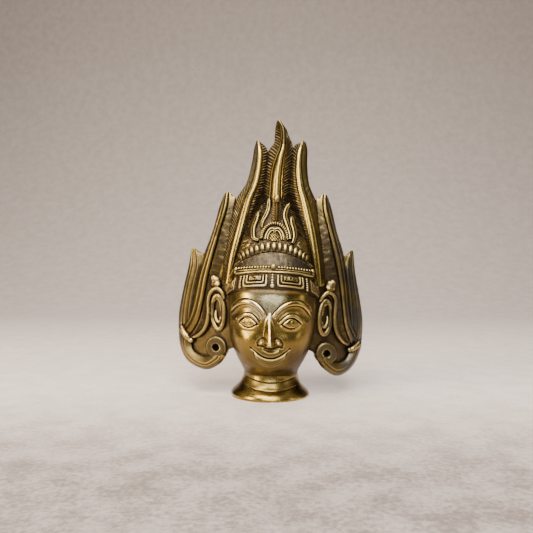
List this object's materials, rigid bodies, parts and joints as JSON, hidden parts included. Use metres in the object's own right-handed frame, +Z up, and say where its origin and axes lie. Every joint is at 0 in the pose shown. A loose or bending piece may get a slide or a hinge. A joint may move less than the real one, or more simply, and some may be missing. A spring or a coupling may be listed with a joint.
{
  "type": "devi mask",
  "caption": "Cast brass mask of a goddess with flame-shaped hair and a jewelled headband, open at the back, that stands on its flared neck",
  "frame": {"origin": "centre of the bounding box in plan, on the table that the foot stands on", "axes": "+X to the viewer's right, +Y to the open back, +Z up to the tip of the middle flame"},
  "size_m": [0.1508, 0.0792, 0.2167],
  "materials": {
    "brass": "polished on the ridges, brown-black patina in the recesses"
  },
  "bodies": {
    "root": {"mask": "brass"}
  },
  "joints": []
}
